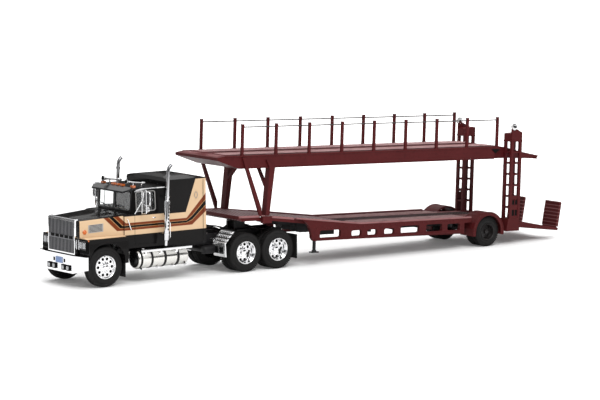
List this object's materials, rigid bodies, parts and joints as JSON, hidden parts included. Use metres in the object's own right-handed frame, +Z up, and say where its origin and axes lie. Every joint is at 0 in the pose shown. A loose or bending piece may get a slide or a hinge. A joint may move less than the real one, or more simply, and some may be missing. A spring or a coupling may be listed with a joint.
{
  "type": "car transporter truck model",
  "caption": "Scale model of a bonneted sleeper tractor hinged to a two-deck car-carrying semi-trailer with guard rails, lift towers and fold-down tail ramps.",
  "frame": {"origin": "middle of the model's length and width, on the ground under the tyres", "axes": "+X towards the tail of the trailer, +Y towards the vehicle's right side, +Z up"},
  "size_m": [0.406, 0.0656, 0.097],
  "materials": {
    "black_paint": "gloss black lacquer on die-cast metal",
    "charcoal_paint": "gloss dark charcoal lacquer with cream and rust bands",
    "maroon_paint": "satin dark red paint",
    "black_plastic": "matt black moulded plastic",
    "chrome": "bright vacuum-plated plastic",
    "polished_metal": "polished aluminium look",
    "steel": "bare steel pin",
    "tyre": "matt black soft tyre",
    "glass": "clear glazing",
    "amber": "translucent amber lens",
    "interior": "dark moulded cab interior",
    "grey_wire": "thin drawn wire"
  },
  "bodies": {
    "tractor": {"frame_rails": "black_plastic", "crossmembers": "black_plastic", "front_bumper": "chrome", "grille_surround": "chrome", "grille_bars": "black_plastic", "bonnet": "black_paint", "front_wings": "charcoal_paint", "headlamps": "chrome", "cab_shell": "black_paint", "windows": "glass", "seats": "interior", "dashboard": "interior", "steering_wheel": "interior", "sleeper_box": "black_paint", "sun_visor": "black_plastic", "air_horns": "chrome", "roof_lamps": "amber", "mirrors": "chrome", "exhaust_stacks": "chrome", "fuel_tanks": "polished_metal", "tank_steps": "chrome", "quarter_fenders": "chrome", "fifth_wheel": "black_plastic", "front_mudflaps": "black_plastic", "rear_mudflaps": "black_plastic", "front_axle_beam": "black_plastic", "drive_axle_housings": "black_plastic"},
    "trailer": {"gooseneck": "maroon_paint", "kingpin": "steel", "lower_deck": "maroon_paint", "side_frames": "maroon_paint", "undercarriage": "black_plastic", "wheel_boxes": "maroon_paint", "trailer_axle_beam": "black_plastic", "support_legs": "black_plastic", "pillars": "maroon_paint", "deck_braces": "maroon_paint", "upper_deck": "maroon_paint", "guard_posts_left": "maroon_paint", "guard_posts_right": "maroon_paint", "guard_wires": "grey_wire", "tower_left": "maroon_paint", "tower_right": "maroon_paint", "pulleys": "polished_metal", "tail_deck": "maroon_paint"},
    "front_wheelset": {"front_tyres": "tyre", "front_rims": "chrome", "front_axle_pin": "steel"},
    "first_drive_wheelset": {"first_drive_tyres": "tyre", "first_drive_rims": "chrome", "first_drive_pin": "steel"},
    "second_drive_wheelset": {"second_drive_tyres": "tyre", "second_drive_rims": "chrome", "second_drive_pin": "steel"},
    "trailer_wheelset": {"trailer_tyres": "tyre", "trailer_rims": "black_plastic", "trailer_pin": "steel"},
    "left_ramp": {"ramp_left": "maroon_paint"},
    "right_ramp": {"ramp_right": "maroon_paint"}
  },
  "joints": [
    {"name": "kingpin_swing", "type": "hinge", "parent": "tractor", "child": "trailer", "pos_m": [-0.0648, 0, 0.033], "axis": [0, 0, 1], "range_deg": [-60, 60]},
    {"name": "front_wheels_roll", "type": "hinge", "parent": "tractor", "child": "front_wheelset", "pos_m": [-0.1848, 0, 0.013], "axis": [0, 1, 0], "continuous": true},
    {"name": "first_drive_wheels_roll", "type": "hinge", "parent": "tractor", "child": "first_drive_wheelset", "pos_m": [-0.07495, 0, 0.013], "axis": [0, 1, 0], "continuous": true},
    {"name": "second_drive_wheels_roll", "type": "hinge", "parent": "tractor", "child": "second_drive_wheelset", "pos_m": [-0.04865, 0, 0.013], "axis": [0, 1, 0], "continuous": true},
    {"name": "trailer_wheels_roll", "type": "hinge", "parent": "trailer", "child": "trailer_wheelset", "pos_m": [0.1317, 0, 0.0103], "axis": [0, 1, 0], "continuous": true},
    {"name": "left_ramp_fold", "type": "hinge", "parent": "trailer", "child": "left_ramp", "pos_m": [0.19843, 0, 0.0069], "axis": [0, 1, 0], "range_deg": [0, 88]},
    {"name": "right_ramp_fold", "type": "hinge", "parent": "trailer", "child": "right_ramp", "pos_m": [0.19843, 0, 0.0069], "axis": [0, 1, 0], "range_deg": [0, 88]}
  ]
}
